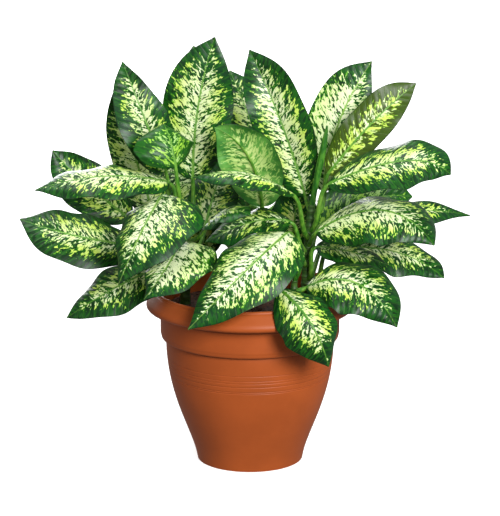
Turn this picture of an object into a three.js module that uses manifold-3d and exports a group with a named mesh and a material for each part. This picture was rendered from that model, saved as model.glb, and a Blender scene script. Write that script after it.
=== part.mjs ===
// Potted dieffenbachia: a terracotta-coloured planter with four leafy canes in soil.
// Millimetres, +Z up. The origin is the centre of the planter's base, on the floor.
import * as THREE from 'three';
import { mergeVertices } from 'three/addons/utils/BufferGeometryUtils.js';
import Module from 'manifold-3d';

// Planter
const RIM_RADIUS = 118;
const RIM_EDGE_HEIGHT = 183;
const POT_HEIGHT = 200;
const MOUTH_RADIUS = 105;
const COLLAR_RADIUS = 102;
const COLLAR_FOOT_HEIGHT = 144.5;
const BASE_RADIUS = 62;
const WALL = 3;
const FLOOR_THICKNESS = 4;
const POT_SIDES = 48;

// Soil
const SOIL_HEIGHT = 178;
const SOIL_LUMPS = 2.2;
const GAP = 0.3;

// Canes and leaves
const CANE_DEPTH = 70;
const CANE_SIDES = 10;
const BLADE_THICKNESS = 0.9;
const WIDEST = 0.47; // where along its midrib a blade is widest, unless the leaf says otherwise
const FULLNESS = [2.4, 2.4]; // how far the two halves of a blade stay wide towards the tip
const PETIOLE_ROOT_RADIUS = 3.4;
const PETIOLE_RADIUS = 2.2;
const BLADE_COLUMNS = [-1, -0.55, 0, 0.55, 1];
const BLADE_ROWS = [0.04, 0.11, 0.21, 0.32, 0.43, 0.54, 0.65, 0.76, 0.86, 0.94, 1];
const PETIOLE_STEPS = [0, 0.2, 0.45, 0.72, 1];

const wasm = await Module();
wasm.setup();

// Each cane: where it stands in the soil, its top and its radius there and at the soil.
const CANES = {
  left: { foot: [-74, 14], top: [-70, 12, 288], radius: [6, 4.2], colour: 0x8fae6a },
  right: { foot: [64, 8], top: [70, 4, 296], radius: [6.5, 4.2], colour: 0x86a862 },
  back: { foot: [-4, 58], top: [0, 62, 292], radius: [6, 4.2], colour: 0x8fae6a },
  front: { foot: [48, -46], top: [50, -50, 222], radius: [4.5, 3.4], colour: 0x7fae4f },
};

// Each leaf: its cane, the height it leaves the cane at, three points of its midrib, the way its
// upper side looks, its width, the rise of its left and right halves, its curl and its edge wave.
// Some also say where along the midrib they are widest, how much wider their right half is than
// their left (lean), and how far each half stays wide towards the tip (full).
const LEAVES = {
  leaf_left_01: { cane: 'left', from: 267, rib: [[-95, 12, 333], [-119, 5, 397], [-143, 20, 457]],
    face: [0.3, -1, 0.1], wide: 58, rise: [0.3, 0.25], curl: 0.1, wave: 2.5, phase: 0.1,
    full: [2.3, 1.35], lean: -0.12 },
  leaf_left_02: { cane: 'left', from: 228, rib: [[-108, 62, 264], [-133, 62, 344], [-153, 60, 425]],
    face: [0.2, -1, 0.2], wide: 54, rise: [0.2, 0.2], curl: 0.2, wave: 2, phase: 0.5 },
  leaf_left_03: { cane: 'left', from: 259, rib: [[-65, 30, 320], [-58, 22, 407], [-39, 25, 484]],
    face: [-0.1, -1, 0.1], wide: 79, rise: [0.2, 0.2], curl: 0.15, wave: 2.5, phase: 0.3,
    full: [2.4, 2] },
  leaf_left_04: { cane: 'left', from: 275, rib: [[-82, -30, 346], [-88, -26, 374], [-96, -10, 391]],
    face: [0.6, -0.9, 0.7], wide: 82, rise: [-0.1, -0.1], curl: 0.3, wave: 1.5, phase: 0,
    full: [2.4, 2.4] },
  leaf_left_05: { cane: 'left', from: 251, rib: [[-91, 2, 322], [-163, -22, 334], [-240, -33, 320]],
    face: [0, -0.4, 1], wide: 65, rise: [0.1, 0.1], curl: 0.35, wave: 3, phase: 0.2 },
  leaf_left_06: { cane: 'left', from: 236, rib: [[-98, -14, 311], [-118, -68, 284], [-144, -98, 228]],
    face: [-0.3, -0.5, 1], wide: 96, rise: [0.1, 0.1], curl: 0.35, wave: 3, phase: 0.6, widest: 0.33,
    lean: -0.24, full: [1.7, 2.4] },
  leaf_left_07: { cane: 'left', from: 211, rib: [[-79, -22, 259], [-90, -76, 246], [-116, -104, 213]],
    face: [-0.2, -0.4, 1], wide: 77, rise: [0.1, 0.1], curl: 0.3, wave: 3, phase: 0.4, widest: 0.33,
    lean: -0.25, full: [2.2, 2.4] },
  leaf_left_08: { cane: 'left', from: 195, rib: [[-92, -6, 229], [-147, -31, 210.5], [-207, -33, 173]],
    face: [0.2, -0.6, 1], wide: 66, rise: [0.1, 0.1], curl: 0.3, wave: 3, phase: 0.8, full: [2, 2.2] },
  leaf_left_09: { cane: 'left', from: 203, rib: [[-131, 36, 241], [-197, 15, 257], [-262, 15, 277]],
    face: [0.2, -0.8, 1], wide: 76, rise: [0.15, 0.15], curl: 0.3, wave: 2.5, phase: 0.3 },
  leaf_left_10: { cane: 'left', from: 219, rib: [[-138, 60, 267], [-190, 71, 306], [-228, 73, 345]],
    face: [0.3, -1, 0.6], wide: 62, rise: [0.15, 0.15], curl: 0.3, wave: 2.5, phase: 0,
    full: [2.2, 1.9] },
  leaf_left_11: { cane: 'left', from: 246, rib: [[-54, -36, 274], [-28, -60, 302], [1, -80, 302]],
    face: [0, -0.3, 1], wide: 52, rise: [0.1, 0.1], curl: 0.3, wave: 2, phase: 0.7 },
  leaf_left_12: { cane: 'left', from: 222, rib: [[-52, 42, 258], [-42, 64, 294], [-26, 84, 334]],
    face: [0, -1, 0.7], wide: 56, rise: [0.15, 0.15], curl: 0.3, wave: 2.5, phase: 0.4 },
  leaf_right_01: { cane: 'right', from: 288, rib: [[63, 23, 302], [34, 11, 392], [-1, 30, 469]],
    face: [0.2, -1, 0.2], wide: 64, rise: [0.05, 0.8], curl: 0.15, wave: 3, phase: 0.2,
    full: [2.6, 2.9] },
  leaf_right_02: { cane: 'right', from: 274, rib: [[84, 33, 306], [100, 30, 384], [138, 40, 454]],
    face: [-0.2, -1, 0.2], wide: 70, rise: [0.2, 0.2], curl: 0.2, wave: 3, phase: 0.6,
    full: [3.4, 1.7] },
  leaf_right_03: { cane: 'right', from: 282, rib: [[88, 5, 331], [136, 4, 389], [187, 20, 432]],
    face: [-0.3, -1, 0.2], wide: 48, rise: [0.3, 0.3], curl: 0.1, wave: 2, phase: 0, full: [3.4, 2] },
  leaf_right_04: { cane: 'right', from: 266, rib: [[87, -26, 326], [170, -58, 359], [220, -64, 344]],
    face: [-0.2, -0.7, 1], wide: 70, rise: [0.1, 0.1], curl: 0.3, wave: 3, phase: 0.4,
    full: [4.2, 1.8] },
  leaf_right_05: { cane: 'right', from: 250, rib: [[74, -25, 271], [146, -62, 304], [202, -85, 269]],
    face: [0.1, -0.8, 1], wide: 86, rise: [-0.14, 0.1], curl: 0.35, wave: 3, phase: 0.1,
    full: [6, 2.2] },
  leaf_right_06: { cane: 'right', from: 234, rib: [[80, 35, 265], [132, 45, 292], [187, 50, 295]],
    face: [-0.1, -0.8, 0.8], wide: 80, rise: [0.1, 0.1], curl: 0.3, wave: 2.5, phase: 0.5 },
  leaf_right_07: { cane: 'right', from: 202, rib: [[93, 60, 246], [175, 90, 268], [260, 110, 259]],
    face: [0, -0.5, 1], wide: 48, rise: [0.1, 0.1], curl: 0.3, wave: 2.5, phase: 0.9,
    full: [2.6, 1.8] },
  leaf_right_08: { cane: 'right', from: 195, rib: [[91, 14, 242], [165, 22, 237], [222, 15, 207]],
    face: [0, -0.5, 1], wide: 64, rise: [0.1, 0.1], curl: 0.35, wave: 3, phase: 0.3, full: [5, 1.8] },
  leaf_right_09: { cane: 'right', from: 210, rib: [[75, -12, 251], [114, -12, 245], [156, -10, 229]],
    face: [0, -0.4, 1], wide: 48, rise: [0.1, 0.1], curl: 0.3, wave: 2, phase: 0.6 },
  leaf_right_10: { cane: 'right', from: 226, rib: [[42, -44, 275], [-2, -106, 249], [-68, -131, 186]],
    face: [0, -0.6, 1], wide: 88, rise: [0.1, 0.1], curl: 0.35, wave: 3.5, phase: 0, widest: 0.37 },
  leaf_right_11: { cane: 'right', from: 258, rib: [[48, -30, 316], [-6, -50, 342], [-64, -50, 338]],
    face: [0, -0.1, 1], wide: 46, rise: [0.1, 0.1], curl: 0.5, wave: 2, phase: 0.2 },
  leaf_right_12: { cane: 'right', from: 242, rib: [[45, -10, 280], [0, -16, 280], [-50, -20, 258]],
    face: [0, -0.4, 1], wide: 64, rise: [0.1, 0.1], curl: 0.3, wave: 2.5, phase: 0.5 },
  leaf_front_01: { cane: 'front', from: 208, rib: [[63, -50, 214], [118, -78, 225], [162, -92, 178]],
    face: [0.1, -0.7, 1], wide: 80, rise: [0.1, 0.1], curl: 0.35, wave: 3, phase: 0.4, full: [3.8, 2] },
  leaf_front_02: { cane: 'front', from: 200, rib: [[33, -92, 222], [66, -127, 193], [86, -121, 142]],
    face: [0.5, -0.9, 0.5], wide: 66, rise: [0.05, -0.5], curl: 0.2, wave: 2.5, phase: 0.1,
    full: [2.6, 2.6] },
  leaf_back_01: { cane: 'back', from: 280, rib: [[14, 22, 290], [-2, -8, 354], [-40, -22, 390]],
    face: [0, 1, 0.4], wide: 66, rise: [0.1, 0.1], curl: 0.3, wave: 2, phase: 0.3 },
  leaf_back_02: { cane: 'back', from: 272, rib: [[-38, 85, 312], [-54, 115, 388], [-66, 132, 458]],
    face: [0, -1, 0.5], wide: 70, rise: [0.2, 0.2], curl: 0.2, wave: 2.5, phase: 0.6 },
  leaf_back_03: { cane: 'back', from: 262, rib: [[34, 76, 290], [4, 102, 366], [-24, 126, 430]],
    face: [0.2, -1, 0.5], wide: 66, rise: [0.2, 0.2], curl: 0.2, wave: 2.5, phase: 0.1 },
  leaf_back_04: { cane: 'back', from: 252, rib: [[44, 90, 298], [88, 132, 338], [128, 170, 334]],
    face: [0, 0.4, 1], wide: 76, rise: [0.1, 0.1], curl: 0.3, wave: 3, phase: 0.4 },
  leaf_back_05: { cane: 'back', from: 244, rib: [[-34, 104, 278], [-66, 120, 300], [-118, 122, 314]],
    face: [0, -0.8, 1], wide: 84, rise: [0.1, 0.1], curl: 0.3, wave: 3, phase: 0.9 },
  leaf_back_06: { cane: 'back', from: 234, rib: [[5, 110, 270], [5, 175, 290], [-5, 235, 260]],
    face: [0, 0.4, 1], wide: 80, rise: [0.1, 0.1], curl: 0.35, wave: 3, phase: 0.2 },
  leaf_back_07: { cane: 'back', from: 224, rib: [[45, 95, 255], [100, 145, 275], [150, 180, 250]],
    face: [0, 0.4, 1], wide: 76, rise: [0.1, 0.1], curl: 0.35, wave: 3, phase: 0.6 },
  leaf_back_08: { cane: 'back', from: 214, rib: [[-45, 109, 244], [-105, 147, 276], [-165, 165, 262]],
    face: [0, 0.4, 1], wide: 76, rise: [0.1, 0.1], curl: 0.35, wave: 3, phase: 0.1 },
  leaf_back_09: { cane: 'back', from: 205, rib: [[-46, 76, 220], [-55, 71, 246], [-66, 64, 274]],
    face: [0, -1, 0.4], wide: 48, rise: [0.1, 0.1], curl: 0.35, wave: 3, phase: 0.7 },
  leaf_back_10: { cane: 'back', from: 194, rib: [[43, 67, 216], [51, 57, 262], [53, 47, 310]],
    face: [-0.1, -1, 0.4], wide: 58, rise: [0.1, 0.1], curl: 0.35, wave: 3, phase: 0.3 },
  leaf_back_11: { cane: 'back', from: 276, rib: [[18, 98, 318], [28, 148, 366], [32, 190, 392]],
    face: [0, -0.5, 1], wide: 74, rise: [0.15, 0.15], curl: 0.3, wave: 3, phase: 0.5 },
};

// New leaves, still rolled, stand on the tops of two canes: the points they pass and their radii.
const SPEARS = {
  spear_right: { cane: 'right', through: [[76, -1, 330], [82, -6, 362], [86, -10, 389]],
    radii: [3.8, 3.2, 3.6, 4.2, 4, 2.8, 0.9] },
  spear_front: { cane: 'front', through: [[52, -54, 230], [54, -58, 238], [58, -60, 246]],
    radii: [3.2, 3.4, 4.2, 4.6, 4, 2.6, 0.9] },
};

// Half the blade's width at t along the midrib, as a share of the widest: a rounded base, the
// widest place at or before the middle and a drawn-out tip.
function outline(t, full, widest) {
  if (t < widest) {
    const s = 1 - t / widest;
    return Math.sqrt(Math.max(0, 1 - s * s));
  }
  const s = (t - widest) / (1 - widest);
  return (1 - s ** full) * (1 - 0.55 * s ** 10);
}

function vec(p) {
  return new THREE.Vector3(p[0], p[1], p[2]);
}

// The midrib is a parabola through the three points of the leaf.
function midrib(leaf) {
  const [a, m, b] = leaf.rib.map(vec);
  const control = m.clone().multiplyScalar(2).addScaledVector(a, -0.5).addScaledVector(b, -0.5);
  return new THREE.QuadraticBezierCurve3(a, control, b);
}

// Across, up and along directions of a ribbon at one point of its path.
function frameAt(tangent, up) {
  const along = tangent.clone().normalize();
  const normal = up.clone().addScaledVector(along, -up.dot(along)).normalize();
  return { along, normal, across: along.clone().cross(normal) };
}

// A point of the blade's middle surface: t along the midrib, u from the left edge to the right.
function bladePoint(leaf, curve, t, u) {
  const full = (leaf.full ?? FULLNESS)[u < 0 ? 0 : 1];
  const lean = Math.sign(u) * (leaf.lean ?? 0);
  const half = 0.5 * leaf.wide * (1 + lean) * outline(t, full, leaf.widest ?? WIDEST) + 0.8;
  const frame = frameAt(curve.getTangent(t), vec(leaf.face));
  const rise = leaf.rise[u < 0 ? 0 : 1];
  const side = Math.abs(u);
  const reach = half * u / Math.hypot(1, rise - leaf.curl * side);
  const ripple = leaf.wave * Math.sin(2 * Math.PI * (2.6 * t + leaf.phase + (u < 0 ? 0.4 : 0)));
  const fade = Math.sin(Math.PI * Math.min(1, t * 1.02)) ** 0.5;
  const lift = half * (rise * side - leaf.curl * side * side) + ripple * fade * side ** 2.5;
  return curve.getPoint(t).addScaledVector(frame.across, reach).addScaledVector(frame.normal, lift);
}

function bladeNormal(leaf, curve, t, u) {
  const step = 0.01;
  const t0 = Math.max(0.02, t - step);
  const t1 = Math.min(1, t + step);
  const u0 = Math.max(-1, u - 0.1);
  const u1 = Math.min(1, u + 0.1);
  const along = bladePoint(leaf, curve, t1, u).sub(bladePoint(leaf, curve, t0, u));
  const across = bladePoint(leaf, curve, t, u1).sub(bladePoint(leaf, curve, t, u0));
  return across.cross(along).normalize();
}

// One closed section of the blade: its upper face from left to right, then its lower face back.
function bladeRing(leaf, curve, t) {
  const upper = [];
  const lower = [];
  for (const u of BLADE_COLUMNS) {
    const middle = bladePoint(leaf, curve, t, u);
    const normal = bladeNormal(leaf, curve, t, u);
    const keel = u === 0 ? 0.2 + 1.6 * (1 - t) : 0;
    upper.push(middle.clone().addScaledVector(normal, 0.5 * BLADE_THICKNESS));
    lower.unshift(middle.addScaledVector(normal, -0.5 * BLADE_THICKNESS - keel));
  }
  return [...upper, ...lower];
}

// A round section with as many corners as a blade's section.
function roundRing(centre, across, normal, wide, high) {
  const corners = 2 * BLADE_COLUMNS.length;
  const ring = [];
  for (let i = 0; i < corners; i += 1) {
    const angle = Math.PI - (i + 0.5) * 2 * Math.PI / corners;
    const corner = centre.clone().addScaledVector(across, wide * Math.cos(angle));
    ring.push(corner.addScaledVector(normal, high * Math.sin(angle)));
  }
  return ring;
}

// A closed body through sections of equal count. Both faces of a blade are split alike.
function loft(rings) {
  const count = rings[0].length;
  const points = rings.flat();
  const index = [];
  const quad = (a, b, c, d, flip) => {
    index.push(...(flip ? [a, b, d, b, c, d] : [a, b, c, a, c, d]));
  };
  for (let k = 0; k + 1 < rings.length; k += 1) {
    for (let i = 0; i < count; i += 1) {
      const j = (i + 1) % count;
      quad(k * count + i, k * count + j, (k + 1) * count + j, (k + 1) * count + i, i >= count / 2);
    }
  }
  const last = (rings.length - 1) * count;
  for (let i = 0; i < count / 2 - 1; i += 1) {
    quad(i, count - 1 - i, count - 2 - i, i + 1, false);
    quad(last + i, last + i + 1, last + count - 2 - i, last + count - 1 - i, false);
  }
  const geometry = new THREE.BufferGeometry();
  geometry.setAttribute('position', new THREE.Float32BufferAttribute(points.flatMap((p) => p.toArray()), 3));
  geometry.setIndex(index);
  return geometry;
}

// Where a cane's middle line is at a height. It stands upright in the soil and leans above it.
function caneAxis(cane, z) {
  const s = THREE.MathUtils.clamp((z - SOIL_HEIGHT) / (cane.top[2] - SOIL_HEIGHT), 0, 1);
  const x = cane.foot[0] + (cane.top[0] - cane.foot[0]) * s * s;
  const y = cane.foot[1] + (cane.top[1] - cane.foot[1]) * s * s;
  return { x, y, radius: cane.radius[0] + (cane.radius[1] - cane.radius[0]) * s };
}

function caneGeometry(cane) {
  const rings = [];
  const heights = [SOIL_HEIGHT - CANE_DEPTH, SOIL_HEIGHT];
  for (let z = SOIL_HEIGHT + 14; z < cane.top[2] - 4; z += 14) {
    heights.push(z);
  }
  heights.push(cane.top[2] - 2, cane.top[2]);
  for (const z of heights) {
    const { x, y, radius } = caneAxis(cane, z);
    const size = z === cane.top[2] ? radius * 0.6 : radius;
    rings.push(roundRing(vec([x, y, z]), vec([-1, 0, 0]), vec([0, 1, 0]), size, size));
  }
  return loft(rings);
}

// A leaf grows from the side of its cane as a stalk and opens into the blade, all one body.
function leafGeometry(leaf) {
  const cane = CANES[leaf.cane];
  const curve = midrib(leaf);
  const axis = caneAxis(cane, leaf.from);
  const base = vec(leaf.rib[0]);
  const out = vec([base.x - axis.x, base.y - axis.y, 0]).normalize();
  const footHeight = 1.3 * PETIOLE_ROOT_RADIUS;
  const clear = Math.max(...[-footHeight, footHeight].map((dz) => {
    const near = caneAxis(cane, leaf.from + dz);
    return (near.x - axis.x) * out.x + (near.y - axis.y) * out.y + near.radius;
  }));
  const root = vec([axis.x, axis.y, leaf.from]).addScaledVector(out, clear + GAP);
  const reach = root.distanceTo(base);
  const start = out.clone().multiplyScalar(0.9).add(vec([0, 0, 0.7])).multiplyScalar(reach);
  const end = curve.getTangent(0).multiplyScalar(reach * 0.8);
  const stalk = new THREE.CubicBezierCurve3(
    root,
    root.clone().addScaledVector(start, 1 / 3),
    base.clone().addScaledVector(end, -1 / 3),
    base,
  );
  const inward = out.clone().negate();
  const rings = PETIOLE_STEPS.map((s) => {
    const up = inward.clone().lerp(vec(leaf.face).normalize(), s);
    const { across, normal } = frameAt(stalk.getTangent(s), up);
    const radius = PETIOLE_ROOT_RADIUS + (PETIOLE_RADIUS - PETIOLE_ROOT_RADIUS) * Math.sqrt(s);
    if (s === 0) {
      const flat = vec([0, 0, 1]);
      return roundRing(root, flat.clone().cross(inward), flat, radius, footHeight);
    }
    return roundRing(stalk.getPoint(s), across, normal, radius, radius);
  });
  for (const t of BLADE_ROWS) {
    rings.push(bladeRing(leaf, curve, t));
  }
  return loft(rings);
}

// A rolled leaf: a slim spindle that stands on the top of its cane.
function spearGeometry(spear) {
  const foot = vec(CANES[spear.cane].top);
  foot.z += GAP;
  const path = new THREE.CatmullRomCurve3([foot, ...spear.through.map(vec)]);
  const rings = spear.radii.map((radius, i) => {
    const s = i / (spear.radii.length - 1);
    if (i === 0) {
      return roundRing(foot, vec([-1, 0, 0]), vec([0, 1, 0]), radius, radius);
    }
    const { across, normal } = frameAt(path.getTangentAt(s), vec([0, 1, 0]));
    return roundRing(path.getPointAt(s), across, normal, radius, radius * 0.85);
  });
  return loft(rings);
}

function potProfile() {
  const outer = [
    [0, 0], [BASE_RADIUS - 5, 0], [BASE_RADIUS - 1.5, 1], [BASE_RADIUS, 4], [BASE_RADIUS + 1, 12],
    [67, 25], [71.5, 36], [79, 55], [85, 73], [90, 92], [93.5, 110], [95.3, 126],
    [95.8, COLLAR_FOOT_HEIGHT], [99, COLLAR_FOOT_HEIGHT], [101, COLLAR_FOOT_HEIGHT + 2.5],
    [COLLAR_RADIUS - 0.4, COLLAR_FOOT_HEIGHT + 7], [COLLAR_RADIUS, 172], [105, 175.5],
    [RIM_RADIUS - 2, RIM_EDGE_HEIGHT - 4], [RIM_RADIUS, RIM_EDGE_HEIGHT - 1.5],
    [RIM_RADIUS - 0.5, RIM_EDGE_HEIGHT + 2], [RIM_RADIUS - 4, RIM_EDGE_HEIGHT + 7],
    [MOUTH_RADIUS + 3, POT_HEIGHT - 2], [MOUTH_RADIUS + 1, POT_HEIGHT],
    [MOUTH_RADIUS - 1, POT_HEIGHT],
  ];
  return { outer, inner: wallInside() };
}

// The inside of the wall from the mouth down to the floor of the planter.
function wallInside() {
  return [
    [MOUTH_RADIUS - 2, POT_HEIGHT - 2], [COLLAR_RADIUS - WALL, 174],
    [COLLAR_RADIUS - WALL, COLLAR_FOOT_HEIGHT + 4.5], [95.5 - WALL, COLLAR_FOOT_HEIGHT - 3.5],
    [93 - WALL, 110], [85 - WALL, 75], [71.5 - WALL, 38],
    [BASE_RADIUS - WALL, FLOOR_THICKNESS + 6], [BASE_RADIUS - WALL - 3, FLOOR_THICKNESS],
  ];
}

function lathe(profile) {
  const points = profile.map(([r, z]) => new THREE.Vector2(r, z));
  return new THREE.LatheGeometry(points, POT_SIDES).rotateX(Math.PI / 2);
}

function potGeometry() {
  const { outer, inner } = potProfile();
  return lathe([...outer, ...inner, [0, FLOOR_THICKNESS]]);
}

// Soil fills the planter up to a lumpy top, a hair clear of the wall.
function soilGeometry() {
  const wall = wallInside().slice(1).reverse().map(([r, z]) => [r - 1.2 * GAP, z + GAP]);
  const top = [[COLLAR_RADIUS - WALL - 1.5 * GAP, SOIL_HEIGHT - 2], [84, SOIL_HEIGHT], [60, SOIL_HEIGHT],
    [36, SOIL_HEIGHT], [14, SOIL_HEIGHT], [0, SOIL_HEIGHT]];
  const side = [[0, FLOOR_THICKNESS + GAP], ...wall];
  const geometry = lathe([...side, ...top]);
  const place = geometry.getAttribute('position');
  for (let i = 0; i < place.count; i += 1) {
    const [x, y, z] = [place.getX(i), place.getY(i), place.getZ(i)];
    if (z >= SOIL_HEIGHT - 0.01) {
      const lump = Math.sin(x * 0.11 + 1) * Math.cos(y * 0.13) + 0.5 * Math.sin(x * 0.23 - y * 0.19);
      place.setZ(i, SOIL_HEIGHT + SOIL_LUMPS * 0.6 * lump * (x * x + y * y > 1 ? 1 : 0));
    }
  }
  return geometry;
}

function toManifold(geometry) {
  const bare = new THREE.BufferGeometry();
  bare.setAttribute('position', geometry.getAttribute('position'));
  bare.setIndex(geometry.getIndex());
  const merged = mergeVertices(bare, 1e-4);
  return new wasm.Manifold(new wasm.Mesh({
    numProp: 3,
    vertProperties: Float32Array.from(merged.getAttribute('position').array),
    triVerts: Uint32Array.from(merged.getIndex().array),
  }));
}

function fromManifold(solid) {
  const mesh = solid.getMesh();
  const geometry = new THREE.BufferGeometry();
  geometry.setAttribute('position', new THREE.BufferAttribute(Float32Array.from(mesh.vertProperties), 3));
  geometry.setIndex([...mesh.triVerts]);
  return geometry;
}

// The plain hole that a cane stands in.
function caneHole(cane) {
  const radius = cane.radius[0] + GAP;
  const depth = CANE_DEPTH + GAP;
  const hole = new THREE.CylinderGeometry(radius, radius, depth + 20, CANE_SIDES * 2);
  hole.rotateX(Math.PI / 2).translate(cane.foot[0], cane.foot[1], SOIL_HEIGHT - depth + (depth + 20) / 2);
  return toManifold(hole);
}

function soilWithHoles() {
  let soil = toManifold(soilGeometry());
  for (const cane of Object.values(CANES)) {
    soil = soil.subtract(caneHole(cane));
  }
  return fromManifold(soil);
}

function addPiece(group, name, geometry, colour, roughness) {
  const material = new THREE.MeshStandardMaterial({ color: colour, roughness, metalness: 0 });
  geometry.computeVertexNormals();
  const mesh = new THREE.Mesh(geometry, material);
  mesh.name = name;
  group.add(mesh);
}

const part = new THREE.Group();
addPiece(part, 'pot', potGeometry(), 0xb4552d, 0.5);
addPiece(part, 'soil', soilWithHoles(), 0x2e1d16, 0.95);
for (const [name, cane] of Object.entries(CANES)) {
  addPiece(part, `cane_${name}`, caneGeometry(cane), cane.colour, 0.6);
}
for (const [name, leaf] of Object.entries(LEAVES)) {
  addPiece(part, name, leafGeometry(leaf), 0x6f9a45, 0.45);
}
for (const [name, spear] of Object.entries(SPEARS)) {
  addPiece(part, name, spearGeometry(spear), 0x5f9c3c, 0.45);
}

export default part;
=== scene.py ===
import math

import bpy
import numpy as np
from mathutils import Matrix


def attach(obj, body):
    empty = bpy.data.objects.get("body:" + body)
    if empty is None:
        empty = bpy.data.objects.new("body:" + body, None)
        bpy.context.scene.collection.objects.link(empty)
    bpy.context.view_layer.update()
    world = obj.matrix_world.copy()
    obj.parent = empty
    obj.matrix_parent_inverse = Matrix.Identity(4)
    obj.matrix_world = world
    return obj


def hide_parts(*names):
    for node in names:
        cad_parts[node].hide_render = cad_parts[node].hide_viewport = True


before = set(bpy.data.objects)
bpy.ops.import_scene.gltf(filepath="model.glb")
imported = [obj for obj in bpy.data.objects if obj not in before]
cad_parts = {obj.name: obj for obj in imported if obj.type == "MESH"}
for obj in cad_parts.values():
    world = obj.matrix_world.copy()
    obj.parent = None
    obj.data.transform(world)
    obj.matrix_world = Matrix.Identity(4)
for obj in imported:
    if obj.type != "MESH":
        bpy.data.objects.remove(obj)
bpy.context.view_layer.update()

mm = 0.001
random = np.random.default_rng(7)


# small helpers for the materials

def plug(tree, socket, value):
    if isinstance(value, bpy.types.NodeSocket):
        tree.links.new(value, socket)
    else:
        socket.default_value = value


def addNode(tree, kind, inputs=None, **settings):
    node = tree.nodes.new("ShaderNode" + kind)
    for name, value in settings.items():
        setattr(node, name, value)
    for name, value in (inputs or {}).items():
        plug(tree, node.inputs[name], value)
    return node


def calc(tree, operation, *values):
    node = addNode(tree, "Math", operation=operation)
    for socket, value in zip(node.inputs, values):
        plug(tree, socket, value)
    return node.outputs[0]


def plus(tree, first, second):
    return calc(tree, "ADD", first, second)


def minus(tree, first, second):
    return calc(tree, "SUBTRACT", first, second)


def times(tree, first, second):
    return calc(tree, "MULTIPLY", first, second)


def smooth(tree, value, low, high):
    node = addNode(tree, "MapRange", interpolation_type="SMOOTHSTEP")
    for name, number in (("Value", value), ("From Min", low), ("From Max", high)):
        plug(tree, node.inputs[name], number)
    return node.outputs[0]


def noise(tree, place, scale, detail=2.0, roughness=0.5, distortion=0.0):
    return addNode(tree, "TexNoise", {
        "Vector": place, "Scale": scale, "Detail": detail,
        "Roughness": roughness, "Distortion": distortion}).outputs["Fac"]


def vector(tree, x, y, z):
    return addNode(tree, "CombineXYZ", {"X": x, "Y": y, "Z": z}).outputs[0]


def tint(red, green, blue):
    # colours are given as a screen shows them
    def lightOf(c):
        c = c / 255
        return c / 12.92 if c <= 0.04045 else ((c + 0.055) / 1.055) ** 2.4
    return (lightOf(red), lightOf(green), lightOf(blue), 1)


def blend(tree, share, first, second):
    node = addNode(tree, "Mix", data_type="RGBA")
    for place, value in ((0, share), (6, first), (7, second)):
        plug(tree, node.inputs[place], value)
    return node.outputs[2]


def startMaterial(name, roughness, **sockets):
    material = bpy.data.materials.new(name)
    material.use_nodes = True
    tree = material.node_tree
    shader = tree.nodes["Principled BSDF"]
    shader.inputs["Roughness"].default_value = roughness
    for socket, value in sockets.items():
        shader.inputs[socket.replace("_", " ")].default_value = value
    return material, tree, shader


def addBump(tree, shader, height, strength, distance):
    bump = addNode(tree, "Bump", {"Height": height, "Strength": strength, "Distance": distance})
    tree.links.new(bump.outputs[0], shader.inputs["Normal"])


# small helpers for the pieces

def clearSelection():
    if bpy.context.object and bpy.context.object.mode != "OBJECT":
        bpy.ops.object.mode_set(mode="OBJECT")
    bpy.ops.object.select_all(action="DESELECT")


def editAll():
    bpy.ops.object.mode_set(mode="EDIT")
    bpy.ops.mesh.select_all(action="SELECT")


def closeShell():
    # for the piece that is active
    editAll()
    bpy.ops.mesh.remove_doubles(threshold=0.00001)
    bpy.ops.mesh.normals_make_consistent(inside=False)
    bpy.ops.object.mode_set(mode="OBJECT")


def finishPiece(piece, name, node, smoothAngle):
    clearSelection()
    piece.select_set(True)
    bpy.context.view_layer.objects.active = piece
    bpy.ops.object.shade_smooth_by_angle(angle=math.radians(smoothAngle))
    piece.name = name
    piece.data.name = name
    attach(piece, "root")
    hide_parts(node)
    clearSelection()


def joinInto(piece, part):
    clearSelection()
    part.select_set(True)
    piece.select_set(True)
    bpy.context.view_layer.objects.active = piece
    bpy.ops.object.join()


def applyModifier(piece, kind, **settings):
    modifier = piece.modifiers.new(kind.title(), kind)
    for name, value in settings.items():
        setattr(modifier, name, value)
    bpy.ops.object.modifier_apply(modifier=modifier.name)


def readPlaces(piece):
    places = np.empty(len(piece.data.vertices) * 3)
    piece.data.vertices.foreach_get("co", places)
    return places.reshape(-1, 3)


def writePlaces(piece, places):
    piece.data.vertices.foreach_set("co", np.asarray(places, dtype=np.float32).ravel())
    piece.data.update()


def spinProfile(profile, steps):
    # profile: radius and height in mm, from the axis outside round to the axis again
    clearSelection()
    bpy.ops.mesh.primitive_circle_add(vertices=len(profile), radius=0.1)
    piece = bpy.context.object
    writePlaces(piece, [(r * mm, 0, z * mm) for r, z in profile])
    editAll()
    bpy.ops.mesh.spin(steps=steps, angle=math.tau, center=(0, 0, 0), axis=(0, 0, 1))
    bpy.ops.object.mode_set(mode="OBJECT")
    closeShell()
    # the edge that lay along the axis is left over
    editAll()
    bpy.ops.mesh.delete_loose(use_verts=True, use_edges=True, use_faces=False)
    bpy.ops.object.mode_set(mode="OBJECT")
    return piece


# planter

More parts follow.
